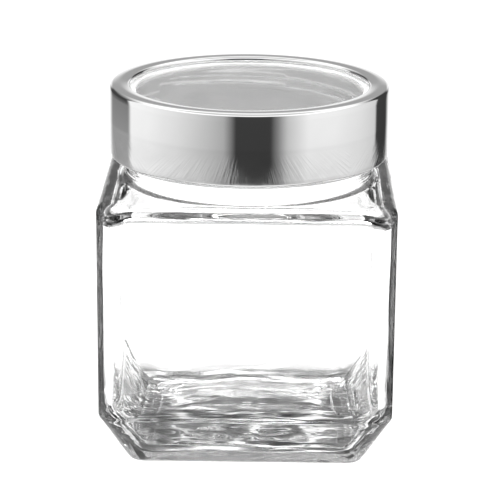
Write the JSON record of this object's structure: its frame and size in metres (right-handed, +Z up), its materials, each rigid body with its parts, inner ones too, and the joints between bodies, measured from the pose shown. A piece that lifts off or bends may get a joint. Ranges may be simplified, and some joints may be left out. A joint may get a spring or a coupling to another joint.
{
  "type": "coin bank jar",
  "caption": "Square clear glass jar with a bevelled foot and a round screw lid: a steel band, a recessed clear window, a threaded plastic ring and a gasket.",
  "frame": {"origin": "middle of the foot, on the surface that the jar stands on", "axes": "+Z up along the lid's screw axis, -Y out of the front face, +X to the right of it"},
  "size_m": [0.09, 0.09, 0.1129],
  "materials": {
    "clear_glass": "clear fire-polished soda-lime glass",
    "steel": "bright stainless sheet with faint upright brushing",
    "clear_plastic": "clear moulded plastic",
    "natural_plastic": "milky translucent plastic",
    "white_seal": "soft white seal"
  },
  "bodies": {
    "jar": {"glass_jar": "clear_glass"},
    "seal": {"lid_gasket": "white_seal"},
    "lid": {"lid_band": "steel", "lid_window": "clear_plastic", "lid_thread_ring": "natural_plastic"}
  },
  "joints": [
    {"name": "lid_rise", "type": "slide", "parent": "jar", "child": "seal", "axis": [0, 0, 1], "range_m": [0, 0.0181]},
    {"name": "lid_turn", "type": "hinge", "parent": "seal", "child": "lid", "pos_m": [0, 0, 0.1], "axis": [0, 0, 1], "range_deg": [0, 648]}
  ],
  "couplings": [
    {"joint": "lid_rise", "follows": "lid_turn", "m_per_rad": 0.0015915}
  ]
}
